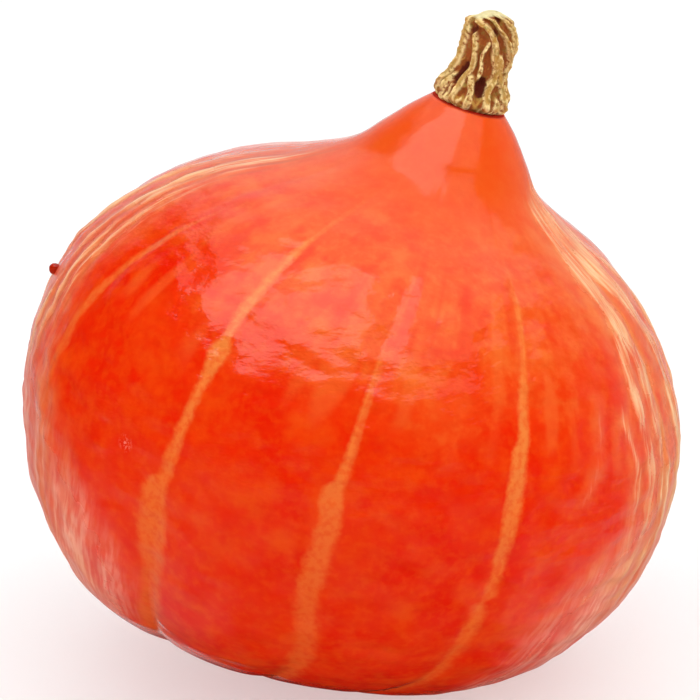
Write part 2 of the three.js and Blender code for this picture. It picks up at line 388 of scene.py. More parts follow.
def wartBall(skin, grid):
    # a small round ball that sits on the skin, as points and faces of its own
    wart = fruitShape["wart"]
    place = nearestPlace(grid, wart)
    seat = skin[place] + wart["lift"] * grid.outward[place]
    tilt = np.linspace(0, np.pi, wart["ringCount"] + 2)[1:-1][:, None]
    turn = np.linspace(0, 2 * np.pi, wart["columnCount"], endpoint=False)
    ball = np.stack([np.sin(tilt) * np.cos(turn), np.sin(tilt) * np.sin(turn),
                     -np.cos(tilt) * np.ones_like(turn)], axis=-1)
    points = np.concatenate([ball.reshape(-1, 3), [[0, 0, -1], [0, 0, 1]]])
    lumpHeight, lumpSize = wart["lump"]
    points = points * (1 + lumpHeight * lumps(points, lumpSize, wart["seed"]))[:, None]
    return seat + points * wart["radius"], skinFaces(wart["ringCount"], wart["columnCount"])


def addCreases(grid):
    # A place that hardly changes from top to bottom gives long creases.
    upright = np.array([0, 0, 1]) * grid.height[..., None] / fruitShape["creaseLength"]
    grid.around = grid.outward * fruitShape["creaseCount"] + upright
    valley = np.abs(lumps(grid.around, 1, fruitShape["seeds"]["creases"]))
    grid.crease = 1 - fruitShape["creaseSharpness"] * valley
    grid.behind = 1 - ease(-0.5, -0.15, grid.front)


def wrinkleLine(grid, route, sway):
    # how far each place lies to the side of a wrinkle, and how strong it is there
    look, height = fruitShape["wrinkle"], grid.height
    heights, angles = np.array(route[::-1], float).T
    middle = np.radians(np.interp(height, heights, angles) + look["swayDeg"] * sway)
    aside = shortestTurn(grid.angle - middle) * grid.radius
    fade = fadeAlong(heights, look["fades"], height)
    pale = look["pale"]["mean"] + look["pale"]["sway"] * np.roll(sway, look["pale"]["shift"])
    return aside, fade * pale


def addWrinkles(grid):
    # how far each place is up a wrinkle, how far down a furrow beside one, and how close
    look, height = fruitShape["wrinkle"], grid.height
    strand, beside, around = look["strand"], look["furrow"], look["haze"]
    line = np.stack([height, 0 * height, 0 * height], axis=-1)
    wavy = lumps(line, look["swayLength"], fruitShape["seeds"]["sway"])
    up, down, haze = [np.zeros_like(grid.angle) for part in range(3)]
    for number, (fullWidth, pale, dark, route) in enumerate(wrinkles):
        sway = np.roll(wavy, look["swayShift"] * number)
        aside, fade = wrinkleLine(grid, route, sway)
        fade = fade * pale
        strandCount = max(1, round(fullWidth / strand["width"]))
        width = max(strand["leastWidth"], fullWidth / strandCount)
        for i in range(strandCount):
            shift = strand["shift"] * i + strand["firstShift"]
            place = (i - (strandCount - 1) / 2) * strand["gap"]
            place = place + strand["sway"] * np.roll(sway, shift)
            away = np.abs(aside - place)
            up = np.maximum(up, fade * bell(away, width))
            furrow = bell(away - beside["place"] * width, beside["width"] * width)
            down = np.maximum(down, dark * fade * furrow)
        close = bell(aside, around["share"] * fullWidth + around["more"])
        haze = np.maximum(haze, fade * close)
    grid.wrinkle = up
    grid.furrow = down * (1 - np.clip(up, 0, 1))
    grid.haze = haze * leftShare(grid, fruitShape["leftHazeAndSheenLoss"])


def leftShare(grid, loss):
    # what is left of a mark when some of it is lost high up on the left
    share, heights = loss
    return 1 - share * ease(*heights, grid.height) * (grid.side < 0)


def addBloomAndSheen(grid):
    # the whitish bloom low down at both sides, partly painted reflection, and the short bumps
    # under it
    left, right = [mixed(edge["start"], ease(*edge["heights"], grid.height))
                   for edge in (fruitShape["bloomLeft"], fruitShape["bloomRight"])]
    start = np.where(grid.side > 0, right, left)
    bloom = ease(start, start + fruitShape["bloomWidth"], np.abs(grid.side))
    backward = ease(-0.05, 0.35, -grid.front)
    bloom = bloom * (1 - fruitShape["bloomLossBehind"] * backward)
    grid.bloom = bloom * band(*fruitShape["bloomHeights"], grid.height)
    short = grid.around * np.array(fruitShape["pebbleStretch"])
    grid.pebble = lumps(short, 1, fruitShape["seeds"]["pebbles"]) * grid.bloom


def grooveDepth(grid):
    # the narrow notch under each stripe, less the rounding that fills it low down
    look, height = fruitShape, grid.height
    notch = mixed(look["notch"], 1 - ease(-60, -10, height))
    notch = notch * band(*look["notchHeights"], height)
    lower = 1 - ease(*fruitShape["fillHeights"], height)
    depth = np.zeros_like(grid.angle)
    for groove, share in ((grid.ribOf, grid.across),
                          ((grid.ribOf + 1) % len(ribs), 1 - grid.across)):
        away = grid.ribWidth * share
        depth += notch * bell(away, look["notchWidth"])
        depth -= lower * grid.fills[groove] * bell(away, look["fillet"])
    return depth


def relief(grid, skin):
    # all the small ups and downs of the skin, in millimetres along its outward direction
    look, height = fruitShape, grid.height
    facing = ease(0.1, 0.6, grid.front)
    facing = facing * ease(*look["dimpleHeights"], height)
    ups = layered(skin, look["unevenness"]) + facing * layered(skin, look["dimples"])
    ups *= mixed((1, look["neckShare"]), ease(*look["neckHeights"], height))
    crease = mixed(look["creases"], grid.behind) * grid.crease
    ups += crease * band(*look["creaseHeights"], height)
    wrinkle = look["wrinkleRise"] * grid.wrinkle - look["furrowDepth"] * grid.furrow
    ups += wrinkle * mixed(look["wrinkleShare"], ease(*look["wrinkleHeights"], height))
    return ups - grooveDepth(grid) + look["pebbles"] * grid.pebble


def scarRelief(grid):
    # the scar's rim stands proud round its sunken middle
    ring = grid.radius / fruitShape["scarRadius"]
    ups = fruitShape["scarRim"] * bell(ring - 1, 0.25) - fruitShape["scarDip"] * (ring < 0.8)
    return ups * (1 - ease(-68, -60, grid.height))


def makeFruit(material):
    skin, grid = fruitSkin()
    addCreases(grid)
    addWrinkles(grid)
    addBloomAndSheen(grid)
    skin = skin + grid.outward * relief(grid, skin)[..., None]
    skin[..., 2] -= scarRelief(grid)
    ends = axisPoints(np.array(fruitShape["endHeights"], float))
    wartPoints, wartFaces = wartBall(skin, grid)
    points = leanOver(np.concatenate([skin.reshape(-1, 3), ends, wartPoints]))
    points[:, 2] = np.maximum(points[:, 2], 0)  # the flat that it rests on
    rows, columns = grid.angle.shape
    wartStart = rows * columns + len(ends)
    faces = skinFaces(rows, columns)
    faces += [[corner + wartStart for corner in face] for face in wartFaces]
    piece = makePiece("squashSkin", points, faces, material)
    storeMarks(piece, grid, len(wartPoints))
    storeCourse(piece, grid, len(ends) + len(wartPoints))
    return piece


def storeMarks(piece, grid, wartCount):
    # Each row has a name, the values on the skin, those at its two ends and the wart's.
    stripeEdge, stripeTint = stripePlaces(grid)
    everywhere = np.ones_like(grid.angle)
    ring = grid.radius / fruitShape["scarRadius"]
    scar = (grid.height < -60) * (1 - ease(0.8, 1.15, ring))
    long = grid.around * np.array(fruitShape["streakStretch"])
    farAway = 9  # from any stripe
    marks = [
        ("stripeEdge", stripeEdge, (farAway, farAway), farAway),
        ("stripeTint", stripeTint, (0, 0), 0),
        ("axisHeight", grid.height * everywhere, (-72, 87), fruitShape["wart"]["height"]),
        ("blush", blushHeight(grid), (0, 0), 0),
        ("paleCrestAndHighlight", crestTint(grid), (0, 0), 0),
        ("bloom", grid.bloom, (0, 0), 0),
        ("haze", grid.haze, (0, 0), 0),
        ("furrow", grid.furrow, (0, 0), 0),
        ("streak", lumps(long, 1, fruitShape["seeds"]["streaks"]), (0, 0), 0),
        ("scar", scar * everywhere, (1, 0), 0),
        ("wart", 0 * everywhere, (0, 0), 1),
    ]
    for name, onSkin, atEnds, onWart in marks:
        storePerPoint(piece, name, onSkin, [*atEnds, *[onWart] * wartCount])


def storeCourse(piece, grid, otherCount):
    # a place on an upright drum for each point, so that marks can follow the ribs
    course = grid.outward * fruitShape["drumRadius"]
    course = course + np.array([0, 0, 1]) * grid.height[..., None]
    course = np.concatenate([course.reshape(-1, 3), np.zeros((otherCount, 3))]) * millimetre
    layer = piece.data.attributes.new("course", "FLOAT_VECTOR", "POINT")
    layer.data.foreach_set("vector", course.astype(np.float32).ravel())


def crestTint(grid):
    # how pale the crests of the creases and wrinkles are, and the skin close to them, partly
    # their own colour and partly painted highlight
    look = fruitShape
    high = ease(*look["tintHeights"], grid.height)
    crease = ease(0.3, 1, grid.crease) * mixed(look["creaseTint"], grid.behind)
    crease = crease * band(*look["creaseTintHeights"], grid.height)
    wrinkle = grid.wrinkle * mixed(look["wrinkleTint"], high)
    close = ease(0.4, 1, grid.haze) * mixed(look["closeTint"], high)
    tint = np.maximum(np.maximum(crease, wrinkle), close)
    return tint * leftShare(grid, look["leftTintLoss"])


def blushHeight(grid):
    # the height that the paler shoulder goes by, which is lower than the real one where
    # the blush sets in late
    drop, side = fruitShape["blushDrop"], grid.side
    lower = 1 - ease(*fruitShape["blushRightHeights"], grid.height)
    return (grid.height - drop["sides"] * ease(0.3, 0.85, np.abs(side))
            - drop["left"] * ease(0.5, 0.9, -side)
            - drop["right"] * ease(0.35, 0.75, side) * lower)


def stripePlaces(grid):
    # millimetres outside the nearest stripe's edge, and how strong that stripe is
    height, ribOf, across = grid.height, grid.ribOf, grid.across
    reachLeft, reachRight, strength = [], [], []
    for tint, reach in stripes:
        up, left, right = np.array(reach[::-1], float).T
        reachLeft.append(np.interp(height, up, left))
        reachRight.append(np.interp(height, up, right))
        strength.append(tint * fadeAlong(up, fruitShape["stripeFades"], height))
    reachLeft, reachRight, strength = [np.concatenate(each, axis=1)
                                       for each in (reachLeft, reachRight, strength)]
    following = (ribOf + 1) % len(ribs)
    edges = []
    for stripe, share in ((ribOf, across), (following, across - 1)):
        fromGroove = grid.ribWidth * share
        edges.append(np.maximum(-reachLeft[:, stripe] - fromGroove,
                                fromGroove - reachRight[:, stripe]))
    nearOwn = edges[0] < edges[1]
    return np.minimum(*edges), np.where(nearOwn, strength[:, ribOf], strength[:, following])


# the stem

# Heights are above the neck. Layers hold height, width, squatness and seed.
stemShape = {
    "profile": [(8.4, 0), (9.8, 1.5), (10, 3), (9, 5.3), (7.8, 8), (7.2, 11), (7.2, 15),
                (7.1, 19), (6.6, 21.3), (5.4, 23), (3.2, 24.2), (0, 24.6)],
    "neckHeight": 87,
    "valleyDepth": 2.1,
    "footShare": 0.45,  # how deep the valleys are at the foot, next to halfway up
    "topShare": 0.55,  # the same, at the cut end
    "ridgeWidth": 0.9,  # the ridges' widths below are all changed by this
    "ridgeFades": ((-2, 1), (-1, 2)),  # millimetres above the low and the high end
    "ridgeSway": [(0.14, 5, 1, 12)],  # how far the ridges stray, as a turn in radians
    "fibres": [(0.36, 1.3, 0.22, 7), (0.216, 0.6, 0.3, 10), (0.24, 0.9, 1, 9)],
    "knobs": [(1, 2.4, 1, 8)],
    "knobShare": (0.15, 1.1),  # up the stem, and at its foot
    "footHeights": (2, 7),
    "tipShift": 0.6,  # how far the cut end has bent to the left
    "tipFlare": (-75, 0.8),  # angle of the blunt corner there, and how far it flares
    "tipDroop": 1.1,  # how far that corner hangs lower
    "ringCount": 170,
    "columnCount": 320,
}

# Each ridge of the stem has a width, a share of the full rise, and a route of heights
# and angles.
stemRidges = [
    (1.2, 1, [(23, -98), (19.8, -88), (17.6, -82), (15, -79), (12, -80), (7, -85), (3.5, -92),
        (0, -94)]),
    (0.9, 0.9, [(18.5, -39), (14.7, -33), (12.4, -27), (10.3, -26), (7.6, -30), (0, -31)]),
    (1, 0.8, [(8, -19), (5.7, -12), (3, -9), (0, -8)]),
    (1.3, 0.8, [(7, -62), (4, -66), (2, -64), (0, -60)]),
    (0.9, 0.75, [(4.5, -49), (2.5, -46), (0, -45)]),
    (1.2, 0.85, [(4, 44), (2, 42), (0, 40)]),
    (0.8, 0.6, [(18, -4), (13.8, -10), (11, -6), (8, -4)]),
    (1.25, 1, [(23.4, -63), (22.1, -34), (20.8, -12), (19.3, 4), (16.9, 14), (14.4, 24),
        (11.8, 31), (9.2, 33), (7, 27), (5.4, 22), (0, 22)]),
    (1.3, 0.95, [(14.5, 34), (9.3, 49), (6.5, 60), (3.6, 64), (0, 66)]),
    (0.95, 1, [(23.6, -45), (23, -12), (22, 9), (20.7, 29), (18.6, 43), (16, 62), (14, 80),
        (8, 93), (0, 95)]),
    (1.5, 1.05, [(24, 5), (23.6, 45), (22.5, 62), (20, 76), (17, 90), (13, 106), (7, 124),
        (0, 130)]),
    (1.4, 1, [(24, 90), (22, 118), (18, 135), (12, 150), (6, 158), (0, 160)]),
    (1.5, 1, [(24, 160), (21, 184), (16, 197), (10, 204), (0, 208)]),
    (1.4, 0.9, [(24, 210), (21, 226), (16, 237), (9, 243), (0, 238)]),
]

# hollows between the ridges, painted dark as shade: height, angle, half height, half width and
# depth
stemHollows = [(6.2, 8, 2.4, 2.1, 1.4), (8, -50, 3, 1.4, 1.2), (18.8, -58, 3.2, 2.6, 0.5),
               (20.6, 13, 1.6, 1.4, 0.5), (23.2, 12, 0.8, 1.8, 0.6),
               (9, 180, 3, 1.6, 0.9), (7, 225, 2.5, 1.5, 0.8), (8, 108, 3, 1.2, 0.8)]


def stemRidgeRise(height, angle, radius):
    rise = np.zeros_like(angle)
    for width, share, route in stemRidges:
        heights, angles = np.array(route[::-1], float).T
        middle = np.radians(np.interp(height, heights, angles))
        away = np.abs(shortestTurn(angle - middle)) * radius
        fade = fadeAlong(heights, stemShape["ridgeFades"], height)
        steep = (away / (stemShape["ridgeWidth"] * width)) ** 4
        rise = np.maximum(rise, share * fade / (1 + steep))
    return rise


def stemHollowDepth(height, angle, radius):
    hollow = np.zeros_like(angle)
    for up, turn, tall, wide, depth in stemHollows:
        aside = shortestTurn(angle - math.radians(turn)) * radius / wide
        above = (height - up) / tall
        hollow = np.maximum(hollow, depth * bell(aside ** 2 + above ** 2, 1))
    return hollow


def stemRoughness(place, foot):
    return (layered(place, stemShape["fibres"])
            + mixed(stemShape["knobShare"], foot) * layered(place, stemShape["knobs"]))


def bentTip(skin, height):
    # the cut end leans to the left, and its corner on that side hangs lower
    droop = stemShape["tipDroop"] * ease(18, 22.5, height)
    skin[..., 2] += height - droop * ease(0, 5, -skin[..., 0])
    skin[..., 0] -= stemShape["tipShift"] * ease(16, 22, height)
    return skin


def makeStem(material):
    look = stemShape
    radius, height = evenRings(look["profile"], look["ringCount"])
    radius, height = radius[:-1], height[:-1]  # the last ring is only a point
    tallest = look["profile"][-1][1]
    turn = np.linspace(-np.pi, np.pi, look["columnCount"], endpoint=False)
    angle = turn + 0 * height
    outward = outwardFrom(angle)
    place = outward * radius[..., None]
    place[..., 2] += height
    foot = 1 - ease(*look["footHeights"], height)
    rise = stemRidgeRise(height, angle + layered(place, look["ridgeSway"]), radius)
    hollow = stemHollowDepth(height, angle, radius) * (1 - rise)
    rough = stemRoughness(place, foot)
    valley = mixed((look["footShare"], 1), ease(0.5, 4, height)) * (1 - rise)
    valley = valley * mixed((1, look["topShare"]), ease(22, tallest, height))
    flareAngle, flareOut = look["tipFlare"]
    facing = np.maximum(np.cos(angle - math.radians(flareAngle)), 0) ** 2
    flare = flareOut * facing * band((20, 22.4), (22.4, 23.6), height)
    reach = radius - look["valleyDepth"] * valley - hollow + flare
    reach = reach + rough * np.minimum(radius / 6, 1)  # the cut end is smoother
    skin = bentTip(outward * reach[..., None], height)
    ends = [[0, 0, 0], [-look["tipShift"], 0, tallest]]
    points = np.concatenate([skin.reshape(-1, 3), ends])
    points[:, 2] += look["neckHeight"]
    points = leanOver(points)
    piece = makePiece("squashStem", points, skinFaces(*angle.shape), material)
    raised = np.maximum(rise, 0.5 * foot) + mixed((0.7, 1.4), foot) * rough
    cut = ease(22, 23.4, height - look["tipDroop"] * (1 - facing))
    storePerPoint(piece, "raised", raised, [0, 1])
    # the painted shade in the hollows follows this depth
    storePerPoint(piece, "hollow", hollow, [0, 0])
    # the painted highlight beside a ridge's top follows this
    storePerPoint(piece, "brow", bell(rise - 0.62, 0.2), [0, 0])  # beside a ridge's top
    storePerPoint(piece, "cutFace", cut, [0, 1])
    return piece


# materials

class Nodes:
    # short hand for linking the nodes of a material or of the room
    def __init__(self, tree):
        self.tree = tree
        self.shader = tree.nodes.get("Principled BSDF")

    def put(self, socket, value):
        if isinstance(value, bpy.types.NodeSocket):
            self.tree.links.new(value, socket)
        else:
            socket.default_value = value

    def new(self, kind, values=(), **settings):
        made = self.tree.nodes.new("ShaderNode" + kind)
        for name, value in settings.items():
            setattr(made, name, value)
        for socket, value in zip(made.inputs, values):
            self.put(socket, value)
        return made

    def finish(self, values):
        for name, value in values.items():
            self.put(self.shader.inputs[name], value)

    def attribute(self, name, output="Fac"):
        return self.new("Attribute", attribute_name=name).outputs[output]

    def math(self, operation, a, b=0.0, c=0.0):
        return self.new("Math", (a, b, c), operation=operation).outputs[0]

    def times(self, a, b):
        return self.math("MULTIPLY", a, b)

    def plus(self, a, b):
        return self.math("ADD", a, b)

    def larger(self, a, b):
        return self.math("MAXIMUM", a, b)

    def swing(self, value, width):
        # from -half of the width to half of it, as the value goes from 0 to 1
        return self.math("MULTIPLY_ADD", value, width, -width / 2)

    def span(self, value, low, high, toLow=0.0, toHigh=1.0):
        levels = (value, low, high, toLow, toHigh)
        return self.new("MapRange", levels, interpolation_type="SMOOTHSTEP").outputs["Result"]

    def product(self, *ramps):
        # each ramp is a value and the levels for span
        result = self.span(*ramps[0])
        for ramp in ramps[1:]:
            result = self.times(result, self.span(*ramp))
        return result

    def place(self):
        return self.new("TexCoord").outputs["Object"]

    def grain(self, size, detail, vector=None):
        # noise with marks about this many millimetres apart
        made = self.new("TexNoise")
        self.put(made.inputs["Scale"], 1 / (size * millimetre))
        self.put(made.inputs["Detail"], detail)
        self.put(made.inputs["Vector"], vector or self.place())
        return made.outputs["Fac"]

    def marks(self, look, vector=None):
        # grain of a size and detail, between two levels and the two that they become
        size, detail, *levels = look
        return self.span(self.grain(size, detail, vector), *levels)

    def away(self, spot):
        # how far from a spot, as a share of the spot's radius
        made = self.new("VectorMath", operation="DISTANCE")
        self.put(made.inputs[0], self.place())
        self.put(made.inputs[1], spot["place"])
        return self.math("DIVIDE", made.outputs["Value"], spot["radius"])

    def stretched(self, z, vector=None):
        # a place with its marks drawn out upwards when the factor is below one
        made = self.new("VectorMath", operation="MULTIPLY")
        self.put(made.inputs[0], vector or self.place())
        self.put(made.inputs[1], (1, 1, z))
        return made.outputs[0]

    def blend(self, share, a, b):
        return self.new("Mix", (share, share, a, b)).outputs[0]

    def mix(self, share, a, b):
        made = self.new("Mix", data_type="RGBA")
        for number, value in ((0, share), (6, a), (7, b)):
            self.put(made.inputs[number], value)
        return made.outputs[2]

    def bump(self, strength, distance, height):
        made = self.new("Bump")
        self.put(made.inputs["Strength"], strength)
        self.put(made.inputs["Distance"], distance * millimetre)
        self.put(made.inputs["Height"], height)
        self.finish({"Normal": made.outputs["Normal"]})


def newMaterial(name):
    material = bpy.data.materials.new(name)
    material.use_nodes = True
    return material, Nodes(material.node_tree)


def linear(red, green, blue):
    # a colour as seen on a screen, 0 to 255, made linear
    def one(level):
        level /= 255
        return level / 12.92 if level <= 0.04045 else ((level + 0.055) / 1.055) ** 2.4
    return (one(red), one(green), one(blue), 1.0)


# Colours are linear. Marks hold their size in millimetres and their detail, then two
# levels of the noise and what these become. Heights hold two heights above the belly,
# then what the mark becomes at each.
rindLook = {
    "deep": (0.68, 0.010, 0.0006, 1),
    "warm": (0.71, 0.026, 0.0012, 1),
    "blotch": (0.74, 0.062, 0.003, 1),
    "shoulder": (0.73, 0.085, 0.009, 1),
    "pale": (0.76, 0.15, 0.026, 1),
    # pale haze by the wrinkles, partly painted highlight
    "hazyAndSheen": (0.80, 0.27, 0.085, 1),
    # pale crests, partly their own colour and partly painted highlight
    "paleCrestAndHighlight": (0.86, 0.58, 0.32, 1),
    # whitish bloom, partly painted reflection of the bright room at the outline
    "bloom": (0.88, 0.36, 0.24, 1),
    # painted shade in the furrows beside the wrinkles
    "furrow": (0.40, 0.07, 0.03, 1),
    "stripeHigh": (0.74, 0.185, 0.035, 1),
    "stripeLow": (0.75, 0.118, 0.016, 1),
    # painted shade in the gap under the stem's overhanging foot
    "shadeUnderStem": (0.34, 0.012, 0.003, 1),
    "scar": (0.42, 0.25, 0.12, 1),
    "wart": (0.38, 0.016, 0.002, 1),
    "ground": (14, 4, 0.32, 0.62),
    "shoulderEdge": (20, 4),
    "shoulderSway": 24,  # how far that edge strays up and down, in millimetres
    "shoulderHeights": (17, 48),
    "shoulderShare": 0.8,
    "patchHeights": (74, 50, 0.25, 1),
    "palePatches": (10, 8, 0.44, 0.76, 0, 0.75),
    "paleSpecks": (2.2, 6, 0.38, 0.75, 0, 0.45),
    "redPatches": (6, 8, 0.56, 0.3, 0, 0.6),
    "streakStarts": (5, 35),
    "streakEnds": (66, 50),
    "paleStreaks": (0.1, 0.5, 0, 0.3),
    "redStreaks": (-0.1, -0.5, 0, 0.5),
    "bloomStretch": 0.22,
    "bloomBands": (7, 2, 0.38, 0.6, 0.38, 1),
    "bloomStreaks": (1.4, 6, 0.36, 0.64, 0.32, 0.95),
    "hazeMarks": (5, 4, 0.35, 0.65, 0.45, 1),
    "threadStretch": 0.12,
    "threads": (1.1, 4, 0.38, 0.58, 0.36, 1.15),
    "crestShare": (0.08, 0.9, 0, 0.74),
    "furrowShare": 0.6,
    "shadeUnderStemHeights": (86.6, 86.95),
    "scabMarks": (0.7, 3, 0.48, 0.64),
    "scabShare": 0.4,
    "roughness": (7, 4, 0.3, 0.7, 0.1, 0.18),
    "refraction": 1.5,
    "matte": 0.22,  # how much rougher the bloom and the haze are
    "ripples": (6.5, 3),
    "rippleHeights": ((66, 40, 0.25, 1), (-35, 15, 0.12, 1)),
    "pores": (1.4, 2),
    "poreShare": 0.08,
    "bump": (0.6, 0.8),  # strength, and height in millimetres
    "stripe": {  # sharp and even high up, and soft, ragged and worn low down
        "ragged": (5, 5),
        "raggedHeights": (10, -30, 2, 4.5),
        "fine": (1.3, 2),
        "fineWidth": 1,
        "softHeights": (10, -30, 0.9, 1.7),
        "worn": (1.6, 5, 0.3, 0.6, 0.6, 1),
        "wornHeights": (-12, -40, 1, 0.72),
        "colourHeights": (36, -14),
    },
}


def rindGround(n, height):
    # deep red with paler and redder patches, and a paler shoulder
    look = rindLook
    colour = n.mix(n.marks(look["ground"]), look["deep"], look["warm"])
    shoulder = n.plus(n.attribute("blush"), n.swing(n.grain(*look["shoulderEdge"]),
                                                    look["shoulderSway"]))
    shoulder = n.span(shoulder, *look["shoulderHeights"])
    colour = n.mix(n.times(shoulder, look["shoulderShare"]), colour, look["shoulder"])
    patchy = n.span(height, *look["patchHeights"])
    blotch = n.mix(shoulder, look["blotch"], look["pale"])
    colour = n.mix(n.times(n.marks(look["palePatches"]), patchy), colour, blotch)
    colour = n.mix(n.times(n.marks(look["paleSpecks"]), patchy), colour, blotch)
    red = n.mix(shoulder, look["deep"], look["warm"])
    colour = n.mix(n.times(n.marks(look["redPatches"]), patchy), colour, red)
    streak = n.times(n.attribute("streak"), n.span(height, *look["streakStarts"]))
    streak = n.times(streak, n.span(height, *look["streakEnds"]))
    colour = n.mix(n.span(streak, *look["paleStreaks"]), colour, look["pale"])
    return n.mix(n.span(streak, *look["redStreaks"]), colour, look["warm"])


def rindPaleMarks(n, colour):
    # the bloom and the haze, partly painted reflection and highlight, then the crests of the
    # wrinkles, partly painted highlight, and the painted shade in the furrows beside them
    look = rindLook
    course = n.stretched(look["bloomStretch"], n.attribute("course", "Vector"))
    bands = n.marks(look["bloomBands"], course)
    streaks = n.marks(look["bloomStreaks"], course)
    # bloom at the sides, partly painted reflection
    bloom = n.times(n.attribute("bloom"), n.times(bands, streaks))
    colour = n.mix(bloom, colour, look["bloom"])
    # haze by the wrinkles, partly painted highlight
    haze = n.times(n.attribute("haze"), n.marks(look["hazeMarks"]))
    colour = n.mix(haze, colour, look["hazyAndSheen"])
    thread = n.stretched(look["threadStretch"], n.attribute("course", "Vector"))
    threads = n.marks(look["threads"], thread)
    # pale crests of the wrinkles, partly painted highlight
    paleCrestAndHighlight = n.times(n.attribute("paleCrestAndHighlight"), threads)
    colour = n.mix(n.span(paleCrestAndHighlight, *look["crestShare"]), colour, look["paleCrestAndHighlight"])
    # painted shade in the furrows beside the wrinkles
    furrow = n.times(n.attribute("furrow"), look["furrowShare"])
    return n.mix(furrow, colour, look["furrow"])


def rindStripes(n, colour, height):
    look = rindLook["stripe"]
    edge = n.attribute("stripeEdge")
    ragged = n.times(n.math("SUBTRACT", n.grain(*look["ragged"]), 0.5),
                     n.span(height, *look["raggedHeights"]))
    fine = n.swing(n.grain(*look["fine"]), look["fineWidth"])
    edge = n.plus(edge, n.plus(ragged, fine))
    edge = n.math("DIVIDE", edge, n.span(height, *look["softHeights"]))
    worn = n.marks(look["worn"])
    worn = n.times(worn, n.span(height, *look["wornHeights"]))
    stripe = n.times(n.span(edge, 1.0, -1.0), worn)
    stripe = n.times(stripe, n.attribute("stripeTint"))
    stripeColour = n.mix(n.span(height, *look["colourHeights"]), rindLook["stripeHigh"],
                         rindLook["stripeLow"])
    return n.mix(stripe, colour, stripeColour)


def rindSpots(n, colour, shadeUnderStem, scabPlace):
    # the painted shade under the stem, the pale scab, the scar at the blossom end, the wart
    look = rindLook
    colour = n.mix(shadeUnderStem, colour, look["shadeUnderStem"])
    scab = n.times(n.span(n.away(scabPlace), 1, 0.2), n.marks(look["scabMarks"]))
    colour = n.mix(n.times(scab, look["scabShare"]), colour, look["bloom"])
    colour = n.mix(n.attribute("scar"), colour, look["scar"])
    return n.mix(n.attribute("wart"), colour, look["wart"])


def rindSurface(n, height, shadeUnderStem):
    # shiny, but duller in the bloom, and calm near the neck and low down
    look = rindLook
    rough = n.marks(look["roughness"])
    matte = n.larger(n.attribute("bloom"), n.attribute("haze"))
    rough = n.math("MULTIPLY_ADD", matte, look["matte"], rough)
    dull = n.larger(n.attribute("scar"), shadeUnderStem)
    n.finish({"Roughness": n.larger(rough, dull), "IOR": look["refraction"]})
    ripple = n.grain(*look["ripples"], n.stretched(2))
    neckCalm, lowCalm = look["rippleHeights"]
    calm = n.times(n.span(height, *neckCalm), n.span(height, *lowCalm))
    ripple = n.times(ripple, calm)
    pores = n.times(n.grain(*look["pores"]), look["poreShare"])
    n.bump(*look["bump"], n.plus(ripple, pores))


def rindMaterial(scabPlace):
    material, n = newMaterial("rindFinish")
    height = n.attribute("axisHeight")
    colour = rindGround(n, height)
    colour = rindPaleMarks(n, colour)
    colour = rindStripes(n, colour, height)
    # a thin band of painted shade just under the stem's foot
    shadeUnderStem = n.span(height, *rindLook["shadeUnderStemHeights"])
    n.finish({"Base Color": rindSpots(n, colour, shadeUnderStem, scabPlace)})
    rindSurface(n, height, shadeUnderStem)
    return material


# Marks are as on the rind. Levels hold two values and what these become.
corkLook = {
    # painted shade in the hollows
    "hollow": linear(92, 28, 10),
    # painted shade low between the ridges
    "groove": linear(150, 76, 28),
    "flank": linear(180, 132, 60),
    # painted highlight on the ridge tops
    "paleCrestAndHighlight": linear(246, 220, 156),
    "moss": linear(140, 128, 58),
    "cut": linear(222, 212, 162),
    "grit": (0.9, 7),
    "gritWidth": 1.5,
    "flankLevels": (0.2, 0.7),
    "mossMarks": (2.2, 4, 0.5, 0.7, 0, 0.6),
    "crestLevels": (0.8, 1.4),
    "crestShare": 0.8,
    "browLevels": (-0.25, 0.1),
    "hollowGrit": -0.5,
    "hollowLevels": (0.15, 0.6),
    "cutGrit": 0.4,
    "cutLevels": (0.3, 1, 0, 0.85),
    "roughness": 0.85,
    "bump": (1, 0.6),  # strength, and height in millimetres
    "bumpGrain": (0.9, 4),
}


def corkMaterial():
    look = corkLook
    material, n = newMaterial("corkFinish")
    grit = n.swing(n.grain(*look["grit"]), look["gritWidth"])
    raised = n.plus(n.attribute("raised"), grit)
    # painted shade low between the ridges, paler up the flanks
    colour = n.mix(n.span(raised, *look["flankLevels"]), look["groove"], look["flank"])
    colour = n.mix(n.marks(look["mossMarks"]), colour, look["moss"])
    # painted highlight on the ridge tops and beside them
    pale = n.larger(n.times(n.span(raised, *look["crestLevels"]), look["crestShare"]),
                    n.times(n.attribute("brow"), n.span(grit, *look["browLevels"])))
    colour = n.mix(pale, colour, look["paleCrestAndHighlight"])
    # painted shade in the hollows
    hollow = n.plus(n.attribute("hollow"), n.times(grit, look["hollowGrit"]))
    colour = n.mix(n.span(hollow, *look["hollowLevels"]), colour, look["hollow"])
    cut = n.plus(n.attribute("cutFace"), n.times(grit, look["cutGrit"]))
    colour = n.mix(n.span(cut, *look["cutLevels"]), colour, look["cut"])
    n.finish({"Base Color": colour, "Roughness": look["roughness"]})
    n.bump(*look["bump"], n.grain(*look["bumpGrain"]))
    return material


# the fruit and its stem take the places of their plain solids

fruitPiece = makeFruit(rindMaterial(scabSpot()))
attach(fruitPiece, "root")
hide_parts("fruit")
print("fruit made")

stemPiece = makeStem(corkMaterial())
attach(stemPiece, "root")
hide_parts("stem")
print("stem made")


# the studio

